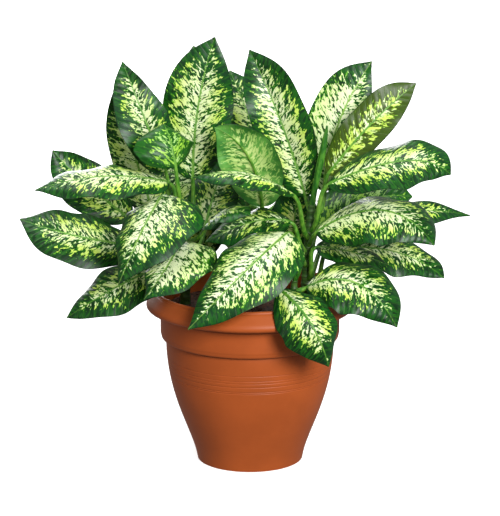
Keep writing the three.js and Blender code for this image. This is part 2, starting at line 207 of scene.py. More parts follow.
planter = {
    "steps": 160, "ringEvery": 3.0,
    "grooveHeights": [101.5, 103.4, 109.2, 113.6, 116.6, 122.4],
    "grooveDepth": 0.34, "grooveWidth": 1.2,
    # radius and height in mm, up the outside and down again inside
    "foot": [(0, 0), (30, 0), (56, 0), (57, 0.25), (58.5, 0.25), (59.5, 0), (60.3, 0.2)],
    "body": [(60, 0.8), (62, 4), (63, 12), (67, 25), (71.5, 36), (79, 55),
             (85, 73), (90, 92), (93.5, 110), (95.3, 126), (95.8, 144)],
    "collar": [(95.5, 144.1), (95.9, 144.5), (98.6, 144.5), (99.8, 144.7), (100.6, 145.3), (101.1, 146.4),
               (101.4, 148), (101.6, 149.5), (101.9, 150.2), (102, 151.5), (102, 160), (102, 171)],
    "lip": [(102.3, 173), (103.1, 174.6), (104.6, 175.6), (107, 176.3), (111, 177.3), (114.6, 178.3),
            (116.6, 179.4), (117.7, 180.9), (118, 182.4), (117.8, 184), (117.1, 185.8), (116, 187.4),
            (114, 190), (112, 192.6), (110, 195.3), (108.6, 197.1), (108.2, 197.4), (107.7, 197.4),
            (107.4, 197.8), (107.2, 198.6), (106.7, 199.4), (106, 199.9), (105.2, 200), (104.3, 199.8),
            (103.5, 199.2), (103, 198)],
    "inside": [(102, 192), (100.4, 182), (99.3, 176), (99, 174), (99, 160), (99, 149), (97.5, 147),
               (94, 143.5), (92.5, 141), (91.4, 124), (90, 110), (86.2, 92), (82, 75), (75.5, 56),
               (68.5, 38), (63.5, 23), (59, 10), (57.8, 6), (56, 4.3), (53, 4), (30, 4), (0, 4)],
    "colour": tint(171, 82, 34), "shade": tint(160, 76, 31), "dust": tint(174, 94, 44),
    # painted shade: a dark line in the crease under the collar and under the lip
    "creaseShade": tint(84, 36, 10), "creaseShadeHeights": [143.9, 174.3], "creaseShadeShare": 0.6, "dustShare": 0.35,
    "roughness": 0.46, "gloss": 0.22, "grainScale": 900, "grainHeight": 0.00006,
}


def makePlanterMaterial():
    material, tree, shader = startMaterial(
        "satinTerracottaPlastic", planter["roughness"], Specular_IOR_Level=planter["gloss"])
    place = addNode(tree, "TexCoord").outputs["Object"]
    cloud = noise(tree, place, 14, 4, 0.6)
    colour = blend(tree, smooth(tree, cloud, 0.35, 0.7), planter["colour"], planter["shade"])
    parts = addNode(tree, "SeparateXYZ", {"Vector": place}).outputs
    # painted shade: dark lines in the creases under the collar and under the lip
    for height in planter["creaseShadeHeights"]:
        near = calc(tree, "ABSOLUTE", minus(tree, parts["Z"], height * mm))
        creaseShade = times(tree, smooth(tree, near, 0.0016, 0.0003), planter["creaseShadeShare"])
        colour = blend(tree, creaseShade, colour, planter["creaseShade"])
    scuffs = smooth(tree, noise(tree, place, 260, 3, 0.7), 0.66, 0.8)
    colour = blend(tree, times(tree, scuffs, planter["dustShare"]), colour, planter["dust"])
    tree.links.new(colour, shader.inputs["Base Color"])
    addBump(tree, shader, noise(tree, place, planter["grainScale"], 2), 0.35, planter["grainHeight"])
    return material


def groovedBody():
    # a smooth curve through the body, with more rings where a groove is cut
    places = np.array(planter["body"])
    curve = np.polyfit(places[:, 1], places[:, 0], 5)
    half = planter["grooveWidth"] / 2
    heights = set(np.arange(planter["ringEvery"], places[-1, 1], planter["ringEvery"]))
    for z in planter["grooveHeights"]:
        heights = {h for h in heights if abs(h - z) > half + 0.4}
        heights |= {z - half, z - half / 2, z, z + half / 2, z + half}
    body = []
    for z in sorted(heights):
        radius = np.polyval(curve, z)
        for groove in planter["grooveHeights"]:
            near = max(0, 1 - abs(z - groove) / half)
            radius -= planter["grooveDepth"] * near ** 0.7
        body.append((radius, z))
    return body


def makePlanter():
    profile = planter["foot"] + groovedBody() + planter["collar"] + planter["lip"] + planter["inside"]
    piece = spinProfile(profile, planter["steps"])
    piece.data.materials.append(makePlanterMaterial())
    finishPiece(piece, "terracottaPlanter", "pot", 32)
    print("planter: made,", len(piece.data.polygons), "faces")


# potting soil

pottingSoil = {
    "steps": 144, "rings": 56, "height": 178, "topRadius": 96.5, "edgeRadius": 97.4, "edgeHeight": 176.4,
    "lumps": 2.2,
    # radius and height in mm, down the side
    "side": [(98.5, 176), (98.3, 174), (98.5, 160), (98.5, 149.2), (92, 141.2), (89.5, 110), (81.5, 75),
             (68, 38), (58.5, 10), (55.5, 4.6), (0, 4.6)],
    "chips": 240, "chipsWithin": 94, "chipLong": (1.6, 4.2), "chipWide": (0.9, 2.2), "chipHigh": (0.6, 1.3),
    "chipTilt": 0.4, "chipRough": 0.25,
    "dark": tint(38, 20, 13), "brown": tint(84, 46, 28), "pale": tint(128, 84, 54),
}


def soilHeight(x, y):
    lumps = 0.6 * (np.sin(x * 0.11 + 1) * np.cos(y * 0.13) + 0.5 * np.sin(x * 0.23 - y * 0.19))
    crumbs = 0.35 * np.sin(x * 0.9 + np.sin(y * 0.7) * 2) * np.sin(y * 1.1 + np.cos(x * 0.5) * 2)
    fine = 0.22 * np.sin(x * 2.3 + y * 1.1) * np.cos(y * 2.7 - x * 0.6)
    return pottingSoil["height"] + pottingSoil["lumps"] * lumps + crumbs + fine


def makeSoilMaterial():
    material, tree, shader = startMaterial("dampPottingSoil", 0.9)
    place = addNode(tree, "TexCoord").outputs["Object"]
    crumbs = noise(tree, place, 260, 5, 0.7)
    colour = blend(tree, smooth(tree, crumbs, 0.4, 0.62), pottingSoil["dark"], pottingSoil["brown"])
    fibres = smooth(tree, noise(tree, place, 700, 2), 0.64, 0.74)
    colour = blend(tree, fibres, colour, pottingSoil["pale"])
    tree.links.new(colour, shader.inputs["Base Color"])
    addBump(tree, shader, crumbs, 0.9, 0.0012)
    return material


def makeChips():
    # one rough chip of bark, copied, turned and half sunk
    clearSelection()
    bpy.ops.mesh.primitive_ico_sphere_add(subdivisions=1, radius=1)
    chips = bpy.context.object
    form = readPlaces(chips)
    form = form * (1 + pottingSoil["chipRough"] * random.standard_normal((len(form), 1)))
    applyModifier(chips, "ARRAY", count=pottingSoil["chips"], use_relative_offset=False)
    places = []
    for _ in range(pottingSoil["chips"]):
        distance, turn = pottingSoil["chipsWithin"] * math.sqrt(random.random()), random.random() * math.tau
        x, y = distance * math.cos(turn), distance * math.sin(turn)
        size = [random.uniform(*pottingSoil[side]) for side in ("chipLong", "chipWide", "chipHigh")]
        spin = random.random() * math.tau
        tilt = random.uniform(-pottingSoil["chipTilt"], pottingSoil["chipTilt"])
        body = form * size
        body = np.stack([body[:, 0], body[:, 1], body[:, 2] + body[:, 0] * tilt], 1)
        body = np.stack([body[:, 0] * math.cos(spin) - body[:, 1] * math.sin(spin),
                         body[:, 0] * math.sin(spin) + body[:, 1] * math.cos(spin), body[:, 2]], 1)
        places.append(body + (x, y, soilHeight(x, y) + 0.2))
    writePlaces(chips, np.concatenate(places) * mm)
    return chips


def makeSoil():
    level = pottingSoil["height"]
    top = [(r, level) for r in np.linspace(0, pottingSoil["topRadius"], pottingSoil["rings"])]
    piece = spinProfile(pottingSoil["side"][::-1] + top[::-1], pottingSoil["steps"])
    places = readPlaces(piece)
    x, y, z = (places / mm).T
    inner = np.clip((pottingSoil["edgeRadius"] - np.hypot(x, y)) / 4, 0, 1)
    lifted = soilHeight(x, y) * inner + pottingSoil["edgeHeight"] * (1 - inner)
    places[:, 2] = np.where(z > level - 1, lifted, z) * mm
    writePlaces(piece, places)
    piece.data.materials.append(makeSoilMaterial())
    chips = makeChips()
    chips.data.materials.append(piece.data.materials[0])
    joinInto(piece, chips)
    finishPiece(piece, "pottingSoil", "soil", 50)
    print("soil: made with", pottingSoil["chips"], "chips")


# canes

canes = {
    "sides": 28, "soilLine": pottingSoil["height"], "depth": 68,
    "scarEvery": 8.5, "scarHeight": 0.55, "scarShare": 0.8,
    "green": tint(34, 72, 20), "pale": tint(66, 102, 38), "scar": tint(44, 58, 22),
    "places": {
        "left": {"foot": (-74, 14), "top": (-70, 12, 288), "radius": (6, 4.2)},
        "right": {"foot": (64, 8), "top": (70, 4, 296), "radius": (6.5, 4.2)},
        "back": {"foot": (-4, 58), "top": (0, 62, 292), "radius": (6, 4.2)},
        "front": {"foot": (48, -46), "top": (50, -50, 222), "radius": (4.5, 3.4)},
    },
}


def caneAxis(cane, z):
    # the middle of the cane at a height, and its radius there
    share = min(1, max(0, (z - canes["soilLine"]) / (cane["top"][2] - canes["soilLine"])))
    foot, top = np.array(cane["foot"]), np.array(cane["top"][:2])
    centre = foot + (top - foot) * share ** 2
    return centre, cane["radius"][0] + (cane["radius"][1] - cane["radius"][0]) * share


def makeCaneMaterial():
    material, tree, shader = startMaterial("ringedGreenCane", 0.5)
    place = addNode(tree, "TexCoord").outputs["Object"]
    parts = addNode(tree, "SeparateXYZ", {"Vector": place}).outputs
    wobble = times(tree, noise(tree, place, 60), 0.002)
    ring = calc(tree, "DIVIDE", plus(tree, parts["Z"], wobble), canes["scarEvery"] * mm)
    ring = calc(tree, "ABSOLUTE", minus(tree, calc(tree, "FRACT", ring), 0.5))
    cloud = noise(tree, place, 220, 3)
    colour = blend(tree, smooth(tree, cloud, 0.35, 0.65), canes["green"], canes["pale"])
    scar = times(tree, smooth(tree, ring, 0.4, 0.48), canes["scarShare"])
    colour = blend(tree, scar, colour, canes["scar"])
    tree.links.new(colour, shader.inputs["Base Color"])
    addBump(tree, shader, cloud, 0.4, 0.0005)
    return material


def caneRings(cane):
    # middle, height and radius of each ring: a proud scar, the plain cane above it, and a rounded top
    rings = []
    proud = canes["scarHeight"]
    top = cane["top"][2]
    z = canes["soilLine"] - canes["depth"]
    while z < top - 2:
        centre, radius = caneAxis(cane, z)
        for rise, more in ((0, proud), (0.9, proud * 0.8), (1.6, 0.05), (5.0, -0.15)):
            if z + rise < top - 1.5:
                rings.append((centre, z + rise, radius + more))
        z += canes["scarEvery"]
    centre, radius = caneAxis(cane, top)
    for below, share in ((1.4, 1), (0.5, 0.85), (0.1, 0.5)):
        rings.append((centre, top - below, radius * share))
    return rings


def makeCane(name, cane, material):
    rings = caneRings(cane)
    clearSelection()
    centre, z, radius = rings[0]
    bpy.ops.mesh.primitive_circle_add(
        vertices=canes["sides"], radius=radius * mm, fill_type="NGON",
        location=(centre[0] * mm, centre[1] * mm, z * mm))
    piece = bpy.context.object
    bpy.ops.object.transform_apply(location=True, rotation=False, scale=False)
    editAll()
    for (centre, z, radius), (nextCentre, nextZ, nextRadius) in zip(rings, rings[1:]):
        step = ((nextCentre[0] - centre[0]) * mm, (nextCentre[1] - centre[1]) * mm, (nextZ - z) * mm)
        bpy.ops.mesh.extrude_region_move(TRANSFORM_OT_translate={"value": step})
        grow = nextRadius / radius
        bpy.ops.transform.resize(
            value=(grow, grow, 1), center_override=(nextCentre[0] * mm, nextCentre[1] * mm, nextZ * mm))
    bpy.ops.mesh.select_all(action="SELECT")
    bpy.ops.mesh.normals_make_consistent(inside=False)
    bpy.ops.object.mode_set(mode="OBJECT")
    piece.data.materials.append(material)
    finishPiece(piece, name + "Cane", "cane_" + name, 45)


# leaves

leafForm = {
    "rows": 112, "columns": 28, "thickness": 0.9, "widest": 0.47, "full": (2.4, 2.4), "length": 0.994,
    "baseHalf": 0.6, "ripples": 2.6, "ribSink": 0.5, "ribSinkWidth": 2.6,
    "veinEvery": 9.0, "veinLean": 0.7, "veinHeight": 0.32,
    # the stalk and midrib: radii, and how far each runs below the middle of the blade
    "rootRadius": 3.4, "stalkRadius": 2.2, "ribEndRadius": 0.35, "gap": 0.3, "rootInset": 1.6,
    "baseDrop": 1.5, "middleDrop": 1.6, "endDrop": 0.9, "tipDrop": 0.3, "ribStop": 1.5,
}

# cane and at: where the stalk starts; rib: base, middle and tip of the midrib in mm; face: where the
# upper side looks; wide: its width; rise and curl: how its halves lift and bend down again;
# wave and phase: its rippled margin; full, widest and lean: its outline, where it differs;
# skin: how pale, how yellow, and how much painted shade darkens it
leafPlaces = {
    "left_01": dict(cane="left", at=267, rib=((-95, 12, 333), (-119, 5, 397), (-143, 20, 457)),
                    face=(0.3, -1, 0.1), wide=58, rise=(0.3, 0.25), curl=0.1,
                    wave=2.5, phase=0.1, full=(2.3, 1.35), lean=-0.12, skin=(0.5, 0.3, 0.15)),
    "left_02": dict(cane="left", at=228, rib=((-108, 62, 264), (-133, 62, 344), (-153, 60, 425)),
                    face=(0.2, -1, 0.2), wide=54, rise=(0.2, 0.2), curl=0.2,
                    wave=2, phase=0.5, skin=(0.8, 0.5, 0)),
    "left_03": dict(cane="left", at=259, rib=((-65, 30, 320), (-58, 22, 407), (-39, 25, 484)),
                    face=(-0.1, -1, 0.1), wide=79, rise=(0.2, 0.2), curl=0.15,
                    wave=2.5, phase=0.3, full=(2.4, 2), skin=(0.56, 0.35, 0.05)),
    "left_04": dict(cane="left", at=275, rib=((-82, -30, 346), (-88, -26, 374), (-96, -10, 391)),
                    face=(0.6, -0.9, 0.7), wide=82, rise=(-0.1, -0.1), curl=0.3,
                    wave=1.5, phase=0, full=(2.4, 2.4), skin=(0.3, 0.9, 0)),
    "left_05": dict(cane="left", at=251, rib=((-91, 2, 322), (-163, -22, 334), (-240, -33, 320)),
                    face=(0, -0.4, 1), wide=65, rise=(0.1, 0.1), curl=0.35,
                    wave=3, phase=0.2, skin=(0.56, 0.4, 0)),
    "left_06": dict(cane="left", at=236, rib=((-98, -14, 311), (-118, -68, 284), (-144, -98, 228)),
                    face=(-0.3, -0.5, 1), wide=96, rise=(0.1, 0.1), curl=0.35,
                    wave=3, phase=0.6, full=(1.7, 2.4), widest=0.33, lean=-0.24, skin=(0.47, 0.1, 0)),
    "left_07": dict(cane="left", at=211, rib=((-79, -22, 259), (-90, -76, 246), (-116, -104, 213)),
                    face=(-0.2, -0.4, 1), wide=77, rise=(0.1, 0.1), curl=0.3,
                    wave=3, phase=0.4, full=(2.2, 2.4), widest=0.33, lean=-0.25, skin=(0.74, 0.1, 0)),
    "left_08": dict(cane="left", at=195, rib=((-92, -6, 229), (-147, -31, 210.5), (-207, -33, 173)),
                    face=(0.2, -0.6, 1), wide=66, rise=(0.1, 0.1), curl=0.3,
                    wave=3, phase=0.8, full=(2, 2.2), skin=(0.46, 0.6, 0)),
    "left_09": dict(cane="left", at=203, rib=((-131, 36, 241), (-197, 15, 257), (-262, 15, 277)),
                    face=(0.2, -0.8, 1), wide=76, rise=(0.15, 0.15), curl=0.3,
                    wave=2.5, phase=0.3, skin=(0.37, 0.5, 0.05)),
    "left_10": dict(cane="left", at=219, rib=((-138, 60, 267), (-190, 71, 306), (-228, 73, 345)),
                    face=(0.3, -1, 0.6), wide=62, rise=(0.15, 0.15), curl=0.3,
                    wave=2.5, phase=0, full=(2.2, 1.9), skin=(0.48, 0.8, 0)),
    "left_11": dict(cane="left", at=246, rib=((-54, -36, 274), (-28, -60, 302), (1, -80, 302)),
                    face=(0, -0.3, 1), wide=52, rise=(0.1, 0.1), curl=0.3,
                    wave=2, phase=0.7, skin=(0.4, 0.7, 0.1)),
    "left_12": dict(cane="left", at=222, rib=((-52, 42, 258), (-42, 64, 294), (-26, 84, 334)),
                    face=(0, -1, 0.7), wide=56, rise=(0.15, 0.15), curl=0.3,
                    wave=2.5, phase=0.4, skin=(0.33, 0.6, 0.8)),
    "right_01": dict(cane="right", at=288, rib=((63, 23, 302), (34, 11, 392), (-1, 30, 469)),
                     face=(0.2, -1, 0.2), wide=64, rise=(0.05, 0.8), curl=0.15,
                     wave=3, phase=0.2, full=(2.6, 2.9), skin=(0.56, 0.3, 0)),
    "right_02": dict(cane="right", at=274, rib=((84, 33, 306), (100, 30, 384), (138, 40, 454)),
                     face=(-0.2, -1, 0.2), wide=70, rise=(0.2, 0.2), curl=0.2,
                     wave=3, phase=0.6, full=(3.4, 1.7), skin=(0.82, 0.1, 0)),
    "right_03": dict(cane="right", at=282, rib=((88, 5, 331), (136, 4, 389), (187, 20, 432)),
                     face=(-0.3, -1, 0.2), wide=48, rise=(0.3, 0.3), curl=0.1,
                     wave=2, phase=0, full=(3.4, 2), skin=(0.47, 1, 0)),
    "right_04": dict(cane="right", at=266, rib=((87, -26, 326), (170, -58, 359), (220, -64, 344)),
                     face=(-0.2, -0.7, 1), wide=70, rise=(0.1, 0.1), curl=0.3,
                     wave=3, phase=0.4, full=(4.2, 1.8), skin=(0.38, 0.55, 0)),
    "right_05": dict(cane="right", at=250, rib=((74, -25, 271), (146, -62, 304), (202, -85, 269)),
                     face=(0.1, -0.8, 1), wide=86, rise=(-0.14, 0.1), curl=0.35,
                     wave=3, phase=0.1, full=(6, 2.2), skin=(0.52, 0.3, 0)),
    "right_06": dict(cane="right", at=234, rib=((80, 35, 265), (132, 45, 292), (187, 50, 295)),
                     face=(-0.1, -0.8, 0.8), wide=80, rise=(0.1, 0.1), curl=0.3,
                     wave=2.5, phase=0.5, skin=(0.3, 0.9, 0)),
    "right_07": dict(cane="right", at=202, rib=((93, 60, 246), (175, 90, 268), (260, 110, 259)),
                     face=(0, -0.5, 1), wide=48, rise=(0.1, 0.1), curl=0.3,
                     wave=2.5, phase=0.9, full=(2.6, 1.8), skin=(0.5, 0.8, 0.1)),
    "right_08": dict(cane="right", at=195, rib=((91, 14, 242), (165, 22, 237), (222, 15, 207)),
                     face=(0, -0.5, 1), wide=64, rise=(0.1, 0.1), curl=0.35,
                     wave=3, phase=0.3, full=(5, 1.8), skin=(0.5, 0.5, 0.05)),
    "right_09": dict(cane="right", at=210, rib=((75, -12, 251), (114, -12, 245), (156, -10, 229)),
                     face=(0, -0.4, 1), wide=48, rise=(0.1, 0.1), curl=0.3,
                     wave=2, phase=0.6, skin=(0.42, 0.8, 0.25)),
    "right_10": dict(cane="right", at=226, rib=((42, -44, 275), (-2, -106, 249), (-68, -131, 186)),
                     face=(0, -0.6, 1), wide=88, rise=(0.1, 0.1), curl=0.35,
                     wave=3.5, phase=0, widest=0.37, skin=(0.57, 0, 0)),
    "right_11": dict(cane="right", at=258, rib=((48, -30, 316), (-6, -50, 342), (-64, -50, 338)),
                     face=(0, -0.1, 1), wide=46, rise=(0.1, 0.1), curl=0.5,
                     wave=2, phase=0.2, skin=(0.62, 0.5, 0)),
    "right_12": dict(cane="right", at=242, rib=((45, -10, 280), (0, -16, 280), (-50, -20, 258)),
                     face=(0, -0.4, 1), wide=64, rise=(0.1, 0.1), curl=0.3,
                     wave=2.5, phase=0.5, skin=(0.34, 0.7, 0.25)),
    "front_01": dict(cane="front", at=208, rib=((63, -50, 214), (118, -78, 225), (162, -92, 178)),
                     face=(0.1, -0.7, 1), wide=80, rise=(0.1, 0.1), curl=0.35,
                     wave=3, phase=0.4, full=(3.8, 2), skin=(0.38, 0.4, 0)),
    "front_02": dict(cane="front", at=200, rib=((33, -92, 222), (66, -127, 193), (86, -121, 142)),
                     face=(0.5, -0.9, 0.5), wide=66, rise=(0.05, -0.5), curl=0.2,
                     wave=2.5, phase=0.1, full=(2.6, 2.6), skin=(0.4, 0.5, 0)),
    "back_01": dict(cane="back", at=280, rib=((14, 22, 290), (-2, -8, 354), (-40, -22, 390)),
                    face=(0, 1, 0.4), wide=66, rise=(0.1, 0.1), curl=0.3,
                    wave=2, phase=0.3, skin=(0.6, 0.5, 0)),
    "back_02": dict(cane="back", at=272, rib=((-38, 85, 312), (-54, 115, 388), (-66, 132, 458)),
                    face=(0, -1, 0.5), wide=70, rise=(0.2, 0.2), curl=0.2,
                    wave=2.5, phase=0.6, skin=(0.55, 0.4, 0)),
    "back_03": dict(cane="back", at=262, rib=((34, 76, 290), (4, 102, 366), (-24, 126, 430)),
                    face=(0.2, -1, 0.5), wide=66, rise=(0.2, 0.2), curl=0.2,
                    wave=2.5, phase=0.1, skin=(0.6, 0.6, 0)),
    "back_04": dict(cane="back", at=252, rib=((44, 90, 298), (88, 132, 338), (128, 170, 334)),
                    face=(0, 0.4, 1), wide=76, rise=(0.1, 0.1), curl=0.3,
                    wave=3, phase=0.4, skin=(0.5, 0.4, 0)),
    "back_05": dict(cane="back", at=244, rib=((-34, 104, 278), (-66, 120, 300), (-118, 122, 314)),
                    face=(0, -0.8, 1), wide=84, rise=(0.1, 0.1), curl=0.3,
                    wave=3, phase=0.9, skin=(0.6, 0.3, 0)),
    "back_06": dict(cane="back", at=234, rib=((5, 110, 270), (5, 175, 290), (-5, 235, 260)),
                    face=(0, 0.4, 1), wide=80, rise=(0.1, 0.1), curl=0.35,
                    wave=3, phase=0.2, skin=(0.65, 0.3, 0)),
    "back_07": dict(cane="back", at=224, rib=((45, 95, 255), (100, 145, 275), (150, 180, 250)),
                    face=(0, 0.4, 1), wide=76, rise=(0.1, 0.1), curl=0.35,
                    wave=3, phase=0.6, skin=(0.5, 0.5, 0)),
    "back_08": dict(cane="back", at=214, rib=((-45, 109, 244), (-105, 147, 276), (-165, 165, 262)),
                    face=(0, 0.4, 1), wide=76, rise=(0.1, 0.1), curl=0.35,
                    wave=3, phase=0.1, skin=(0.55, 0.4, 0)),
    "back_09": dict(cane="back", at=205, rib=((-46, 76, 220), (-55, 71, 246), (-66, 64, 274)),
                    face=(0, -1, 0.4), wide=48, rise=(0.1, 0.1), curl=0.35,
                    wave=3, phase=0.7, skin=(0.35, 0.7, 0.7)),
    "back_10": dict(cane="back", at=194, rib=((43, 67, 216), (51, 57, 262), (53, 47, 310)),
                    face=(-0.1, -1, 0.4), wide=58, rise=(0.1, 0.1), curl=0.35,
                    wave=3, phase=0.3, skin=(0.35, 0.7, 0.6)),
    "back_11": dict(cane="back", at=276, rib=((18, 98, 318), (28, 148, 366), (32, 190, 392)),
                    face=(0, -0.5, 1), wide=74, rise=(0.15, 0.15), curl=0.3,
                    wave=3, phase=0.5, skin=(0.5, 0.5, 0.1)),
}


def normalise(rows):
    return rows / np.linalg.norm(rows, axis=-1, keepdims=True)


def bendAt(curve, t):
    # point and direction on a curve through base, control and tip
    base, control, tip = curve
    t = np.asarray(t, float)[..., None]
    point = (1 - t) ** 2 * base + 2 * t * (1 - t) * control + t * t * tip
    direction = 2 * (1 - t) * (control - base) + 2 * t * (tip - control)
    return point, normalise(direction)


def ribCurve(leaf):
    base, middle, tip = (np.array(point, float) for point in leaf["rib"])
    return base, 2 * middle - 0.5 * (base + tip), tip


def frameAlong(direction, up):
    normal = normalise(up - direction * (direction @ up)[..., None])
    return normal, np.cross(direction, normal)


def bladeOutline(t, full, widest):
    # half a width of 1 at the widest place; a fuller blade stays wide further towards its tip
    lower = np.sqrt(np.clip(1 - (1 - t / widest) ** 2, 0, 1))
    s = np.clip((t - widest) / (1 - widest), 0, 1)
    return np.where(t < widest, lower, (1 - s ** full) * (1 - 0.55 * s ** 10))


def bladePlaces(leaf, t, u):
    # t runs along the midrib and u from margin to margin, both as grids
    middle, along = bendAt(ribCurve(leaf), t)
    normal, across = frameAlong(along, np.array(leaf["face"], float))
    full = leaf.get("full", leafForm["full"])
    widest = leaf.get("widest", leafForm["widest"])
    outline = bladeOutline(t, np.where(u < 0, full[0], full[1]), widest)
    half = 0.5 * leaf["wide"] * (1 + np.sign(u) * leaf.get("lean", 0)) * outline
    half = half + leafForm["baseHalf"] * (1 - t ** 30)
    side = np.abs(u)
    rise = np.where(u < 0, leaf["rise"][0], leaf["rise"][1])
    reach = half * u / np.hypot(1, rise - leaf["curl"] * side)
    phase = leaf["phase"] + np.where(u < 0, 0.4, 0)
    ripple = leaf["wave"] * np.sin(math.tau * (leafForm["ripples"] * t + phase))
    fade = np.sqrt(np.sin(math.pi * np.minimum(1, t * 1.02)).clip(0))
    lift = half * (rise * side - leaf["curl"] * side ** 2) + ripple * fade * side ** 2.5
    length = np.concatenate([[0], np.cumsum(np.linalg.norm(np.diff(middle[:, 0], axis=0), axis=1))])
    alongPlace = np.broadcast_to(length[:, None], t.shape)
    acrossPlace = half * u
    # the blade is quilted between its side veins and sunk a little along the midrib
    vein = (alongPlace - leafForm["veinLean"] * np.abs(acrossPlace)) / leafForm["veinEvery"]
    quilt = -leafForm["veinHeight"] * np.cos(math.tau * vein)
    quilt *= np.clip(side * 6, 0, 1) * np.clip((1 - side) * 3.5, 0, 1) * fade
    quilt -= leafForm["ribSink"] * np.exp(-(acrossPlace / leafForm["ribSinkWidth"]) ** 2) * fade
    places = middle + across * reach[..., None] + normal * (lift + quilt)[..., None]
    return places, alongPlace, acrossPlace, half - np.abs(acrossPlace)


def gridPiece(name, places):
    # a grid of rows and columns, laid on the given places
    rows, columns = places.shape[:2]
    clearSelection()
    bpy.ops.mesh.primitive_grid_add(x_subdivisions=columns - 1, y_subdivisions=rows - 1, size=1)
    piece = bpy.context.object
    piece.name = name
    writePlaces(piece, places.reshape(-1, 3) * mm)
    return piece


def addMap(piece, name, x, y):
    corners = np.empty(len(piece.data.loops), dtype=np.int32)
    piece.data.loops.foreach_get("vertex_index", corners)
    layer = piece.data.uv_layers.new(name=name)
    places = np.stack([x.ravel()[corners], y.ravel()[corners]], 1)
    layer.data.foreach_set("uv", places.astype(np.float32).ravel())


def addTraits(piece, name, values):
    traits = piece.data.attributes.new(name, "FLOAT_COLOR", "POINT")
    traits.data.foreach_set("color", np.asarray(values, dtype=np.float32).ravel())


leafSkin = {
    "deep": tint(6, 41, 10), "deepCool": tint(16, 58, 26), "fresh": tint(30, 100, 20),
    "lime": tint(108, 176, 36), "olive": tint(58, 78, 14), "oliveFresh": tint(112, 132, 34),
    "cream": tint(226, 234, 194), "creamYellow": tint(196, 220, 96),
    "rib": tint(92, 150, 46), "ribPale": tint(156, 196, 92),
    "underDeep": tint(52, 118, 42), "under": tint(104, 166, 72), "underPale": tint(166, 204, 106),
    "underCream": tint(212, 228, 150), "underVein": tint(70, 156, 40),
    "roughness": 0.36, "gloss": 0.26, "underRoughness": 0.5,
}

leafMarkings = {
    # each layer of noise: its scale away from the midrib and along it, detail, distortion and place
    "wander": (20, 24, 2, 0, 11), "drift": (17, 20, 2, 0, 17), "blotch": (15, 24, 1.2, 0.8, 0),
    "speck": (34, 42, 0.6, 0.4, 5), "patch": (5, 9, 2, 0, 0), "mottle": (12, 22, 2, 0.8, 29),
    "fleck": (17, 66, 1, 0.4, 7), "dot": (58, 66, 1, 0, 3),
    # what each layer adds to the cream or takes from it
    "wavy": 0.055, "blotchShare": 2, "speckShare": 1.1, "patchShare": 0.8, "paleShare": 0.45,
    "tipShare": 0.55, "fleckShare": 0.3, "dotShare": 0.2, "green": 1.8,
    "marginGreen": 0.62, "marginGreenLess": 0.56, "ribWidth": 0.019, "ribTaper": 0.015,
}


def leafPattern(tree):
    # reads the maps of a blade, in tenths of a metre, and gives its cream field, veins and traits
    place = addNode(tree, "UVMap", uv_map="bladePlace").outputs[0]
    place = addNode(tree, "SeparateXYZ", {"Vector": place}).outputs
    margin = addNode(tree, "UVMap", uv_map="bladeMargin").outputs[0]
    margin = addNode(tree, "SeparateXYZ", {"Vector": margin}).outputs
    attribute = addNode(tree, "Attribute", attribute_name="bladeTraits").outputs
    traits = addNode(tree, "SeparateColor", {"Color": attribute["Color"]}).outputs
    # the third trait is painted shade: it darkens leaves that lie in shade deep in the plant
    pale, yellow, dark = traits[0], traits[1], traits[2]
    across, along = place["X"], place["Y"]
    edge, share = margin["X"], margin["Y"]
    out = calc(tree, "ABSOLUTE", across)
    streak = minus(tree, along, times(tree, out, leafForm["veinLean"]))
    side = plus(tree, times(tree, calc(tree, "SIGN", across), 3), times(tree, attribute["Alpha"], 40))

    def layer(name, outPlace, streakPlace):
        outScale, streakScale, detail, distortion, step = leafMarkings[name]
        where = vector(tree, times(tree, outPlace, outScale), times(tree, streakPlace, streakScale),
                       plus(tree, side, step))
        return noise(tree, where, 1, detail, 0.5, distortion)

    # the blotches follow the side veins with a wavy outline
    wander = times(tree, minus(tree, layer("wander", out, streak), 0.5), leafMarkings["wavy"])
    drift = times(tree, minus(tree, layer("drift", out, streak), 0.5), leafMarkings["wavy"])
    wavyOut, wavyStreak = plus(tree, out, wander), plus(tree, streak, drift)
    blotch, speck, patch, mottle, fleck, dot = (
        layer(name, wavyOut, wavyStreak) for name in ("blotch", "speck", "patch", "mottle", "fleck", "dot"))

    # the field is high where the blade is cream: round the midrib, and further out on a pale leaf
    reach = calc(tree, "DIVIDE", out, plus(tree, plus(tree, out, edge), 0.001))
    tipward = smooth(tree, share, 0.6, 1.0)
    greenShare = times(tree, pale, leafMarkings["marginGreenLess"])
    greenShare = minus(tree, leafMarkings["marginGreen"], greenShare)
    field = times(tree, blotch, leafMarkings["blotchShare"])
    for part, amount in ((speck, leafMarkings["speckShare"]), (patch, leafMarkings["patchShare"]),
                         (minus(tree, pale, 0.5), leafMarkings["paleShare"])):
        field = plus(tree, field, times(tree, part, amount))
    for part, amount in ((smooth(tree, edge, 0.12, 0.02), greenShare),
                         (smooth(tree, reach, 0.2, 1.0), greenShare), (tipward, leafMarkings["tipShare"]),
                         (smooth(tree, fleck, 0.53, 0.62), leafMarkings["fleckShare"]),
                         (smooth(tree, dot, 0.57, 0.66), leafMarkings["dotShare"])):
        field = minus(tree, field, times(tree, part, amount))
    field = minus(tree, field, leafMarkings["green"])

    vein = calc(tree, "FRACT", calc(tree, "DIVIDE", streak, leafForm["veinEvery"] / 100))
    vein = smooth(tree, calc(tree, "ABSOLUTE", minus(tree, vein, 0.5)), 0.44, 0.49)
    ribWidth = minus(tree, leafMarkings["ribWidth"], times(tree, share, leafMarkings["ribTaper"]))
    rib = smooth(tree, minus(tree, out, ribWidth), 0.004, -0.002)
    return dict(field=field, vein=vein, rib=rib, pale=pale, yellow=yellow, dark=dark,
                edge=edge, patch=patch, mottle=mottle, reach=reach, tipward=tipward)


